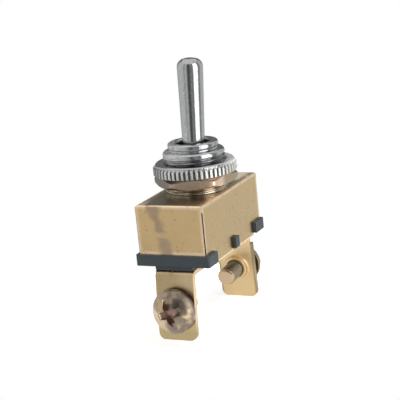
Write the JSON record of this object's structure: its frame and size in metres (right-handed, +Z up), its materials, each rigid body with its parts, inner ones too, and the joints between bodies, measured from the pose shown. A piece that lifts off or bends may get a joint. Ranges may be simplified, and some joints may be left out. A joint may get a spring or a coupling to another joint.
{
  "type": "panel mount toggle switch",
  "caption": "Bat-handle toggle switch with a threaded bushing, nuts, a folded metal housing and two bent screw terminals under a moulded base.",
  "frame": {"origin": "on the bushing axis, 0.1 mm above the top face of the knurled face nut, where the free thread starts", "axes": "+Z up along the bushing and out of the panel, X along the housing's long side and the line of the terminals, +X towards the far terminal and the way the lever leans at rest, Y across the housing"},
  "size_m": [0.0374, 0.016, 0.0518],
  "materials": {
    "plated_brass": "yellow plated steel sheet, satin, lightly smudged",
    "terminal_brass": "stamped brass strip, satin",
    "screw_plating": "yellow plated, slightly dull",
    "brass": "turned brass, bright",
    "rivet_brass": "plain brass",
    "chrome": "bright chrome plate",
    "steel": "drawn steel",
    "phenolic": "black moulded phenolic, slight blue cast",
    "fibre": "grey vulcanised fibre sheet",
    "nylon": "natural nylon",
    "copper_alloy": "copper alloy spring strip",
    "silver": "silver contact face"
  },
  "bodies": {
    "body": {"housing": "plated_brass", "liner": "fibre", "base": "phenolic", "bushing": "chrome", "hex_nut": "brass", "knurled_nut": "chrome", "fulcrum": "copper_alloy", "contact_strip": "copper_alloy", "fixed_contact": "silver", "near_rivet": "rivet_brass", "far_rivet": "rivet_brass", "near_terminal": "terminal_brass", "far_terminal": "terminal_brass", "near_screw": "screw_plating", "far_screw": "screw_plating"},
    "lever": {"lever": "chrome", "pivot_pin": "steel", "lever_spring": "steel"},
    "plunger": {"plunger": "nylon"},
    "rocker": {"rocker": "copper_alloy", "rocker_pin": "steel", "rocker_contact": "silver"}
  },
  "joints": [
    {"name": "lever_throw", "type": "hinge", "parent": "body", "child": "lever", "pos_m": [0, 0, -0.0008], "axis": [0, 1, 0], "range_deg": [-13, 0]},
    {"name": "plunger_slide", "type": "slide", "parent": "lever", "child": "plunger", "axis": [-0.1132, 0, -0.9936], "range_m": [0, 0.00021]},
    {"name": "rocker_tilt", "type": "hinge", "parent": "body", "child": "rocker", "pos_m": [0, 0, -0.0119], "axis": [0, 1, 0], "range_deg": [0, 13]}
  ],
  "couplings": [
    {"joint": "rocker_tilt", "follows": "lever_throw", "ratio": -1}
  ]
}
